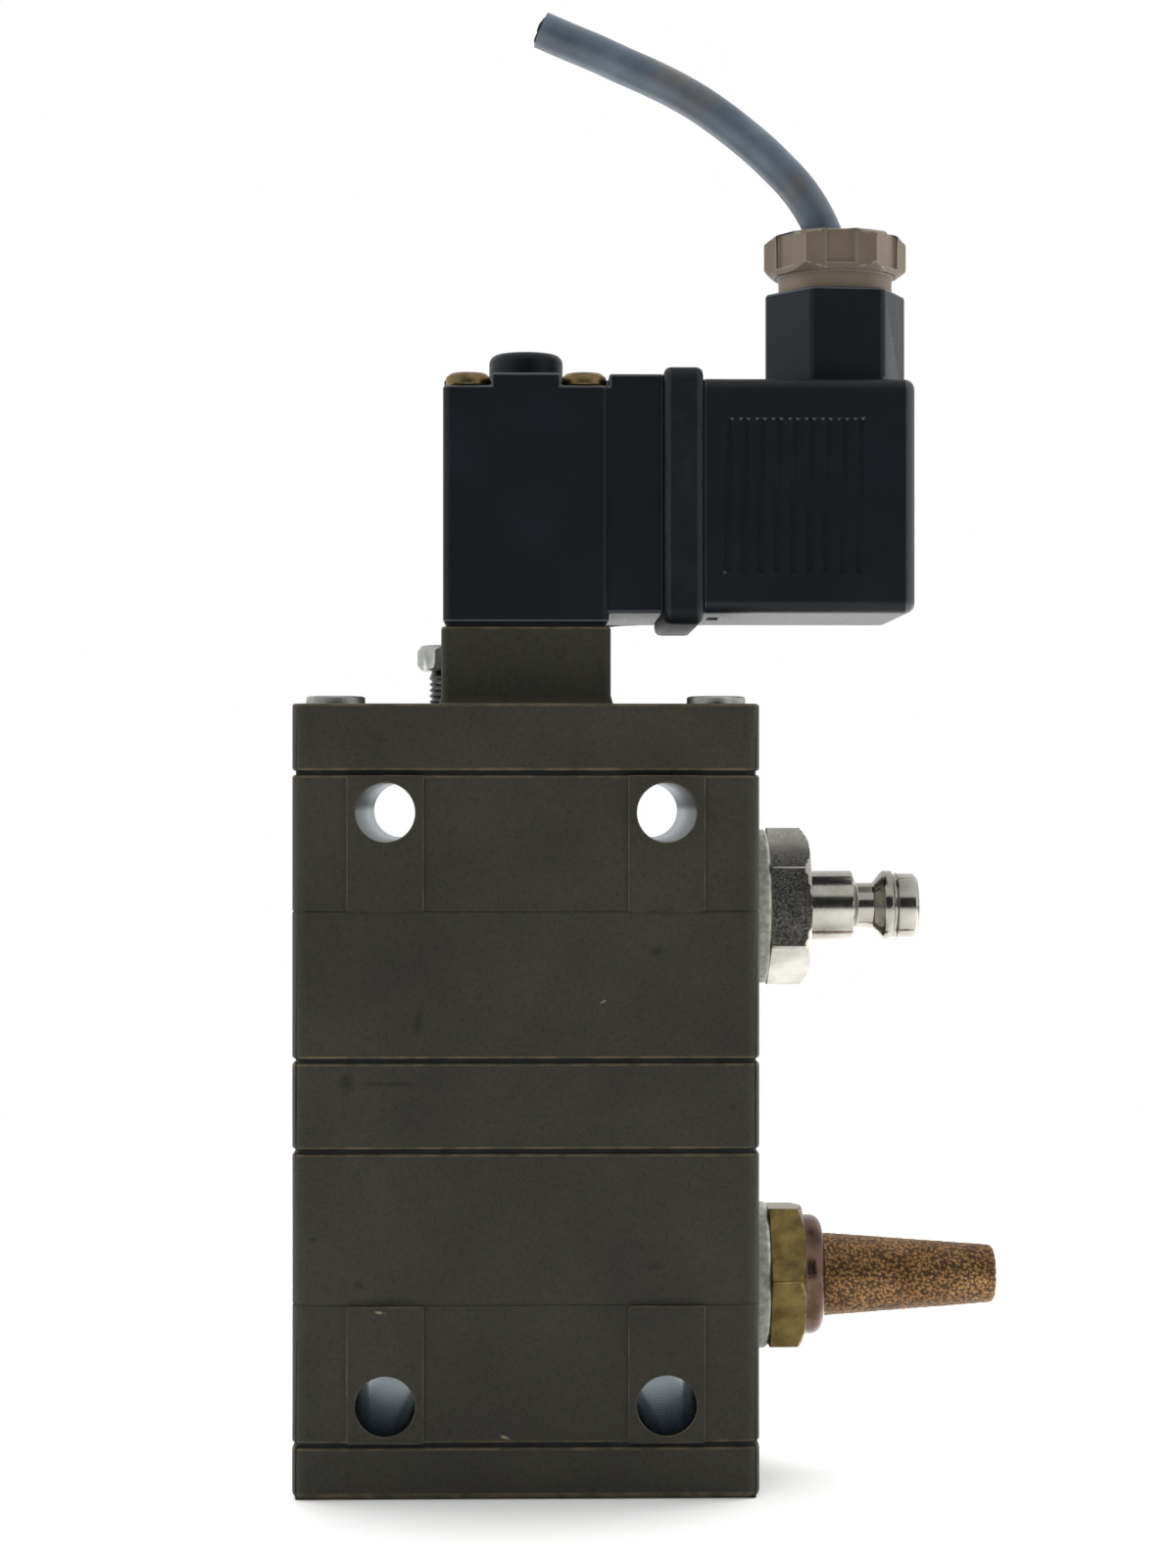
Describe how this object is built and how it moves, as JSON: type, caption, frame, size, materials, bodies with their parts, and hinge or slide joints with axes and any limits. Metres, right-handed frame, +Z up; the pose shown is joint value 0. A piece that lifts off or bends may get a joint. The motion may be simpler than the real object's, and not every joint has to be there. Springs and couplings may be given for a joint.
{
  "type": "solenoid pilot operated air valve with muffler",
  "caption": "Pilot operated air valve: cast body stack with spool and piston, plug nipple, sintered bronze muffler, and a pilot coil with override button, cable plug and short cable.",
  "frame": {"origin": "centre of the base, on the underside of the bottom cap", "axes": "+Z up through the spool, the coil and the override button; +X to the right, out through the nipple and the muffler; +Y to the back, along the mounting holes"},
  "size_m": [0.086, 0.0458, 0.1801],
  "materials": {
    "cast_paint": "die cast aluminium with satin paint",
    "black_plastic": "moulded, satin",
    "rubber_black": "matt",
    "zinc_steel": "zinc plated",
    "brass": "turned",
    "bronze": "sintered, granular",
    "spring_steel": "drawn wire",
    "alloy": "turned",
    "fibre": "matt",
    "nut_beige": "moulded, satin",
    "cable_grey": "satin sheath",
    "copper": "enamelled wire",
    "natural_nylon": "moulded"
  },
  "bodies": {
    "housing": {"bottom_cap": "cast_paint", "bottom_gasket": "rubber_black", "lower_body": "cast_paint", "lower_gasket": "rubber_black", "mid_plate": "cast_paint", "upper_gasket": "rubber_black", "upper_body": "cast_paint", "cover_gasket": "rubber_black", "top_cover": "cast_paint", "tie_screws": "zinc_steel", "throttle_screw": "zinc_steel", "inlet_washer": "fibre", "inlet_nipple": "zinc_steel", "muffler_washer": "fibre", "muffler_base": "brass", "muffler_element": "bronze", "stem_bush": "brass", "return_spring": "spring_steel", "pilot_gasket": "rubber_black", "coil_body": "black_plastic", "coil_bobbin": "natural_nylon", "coil_winding": "copper", "coil_screws": "brass", "armature_tube": "zinc_steel", "pole_piece": "spring_steel", "pilot_spring": "spring_steel", "override_spring": "spring_steel", "contact_blades": "zinc_steel", "plug_gasket": "rubber_black", "plug_housing": "black_plastic", "terminal_block": "black_plastic", "terminal_screws": "brass", "plug_screw": "zinc_steel", "gland_grommet": "rubber_black", "gland_washer": "zinc_steel", "gland_nut": "nut_beige", "cable_cores": "rubber_black", "cable_tail": "cable_grey", "cable": "cable_grey"},
    "spool_group": {"spool": "alloy", "spool_seals": "rubber_black", "control_piston": "alloy", "piston_ring": "rubber_black", "piston_nut": "zinc_steel"},
    "button": {"override_button": "black_plastic"},
    "armature_group": {"armature": "spring_steel", "push_pin": "brass", "pilot_poppet": "rubber_black"}
  },
  "joints": [
    {"name": "spool_stroke", "type": "slide", "parent": "housing", "child": "spool_group", "axis": [0, 0, -1], "range_m": [0, 0.0045], "stiffness_N_per_m": 3000, "springref_m": -0.004, "deforming": ["return_spring"]},
    {"name": "override_press", "type": "slide", "parent": "housing", "child": "button", "axis": [0, 0, -1], "range_m": [0, 0.001], "stiffness_N_per_m": 1000, "springref_m": -0.001, "deforming": ["override_spring"]},
    {"name": "armature_stroke", "type": "slide", "parent": "housing", "child": "armature_group", "axis": [0, 0, -1], "range_m": [0, 0.001], "stiffness_N_per_m": 1000, "springref_m": -0.001, "deforming": ["pilot_spring"]}
  ],
  "couplings": [
    {"joint": "armature_stroke", "follows": "override_press", "ratio": 1}
  ]
}
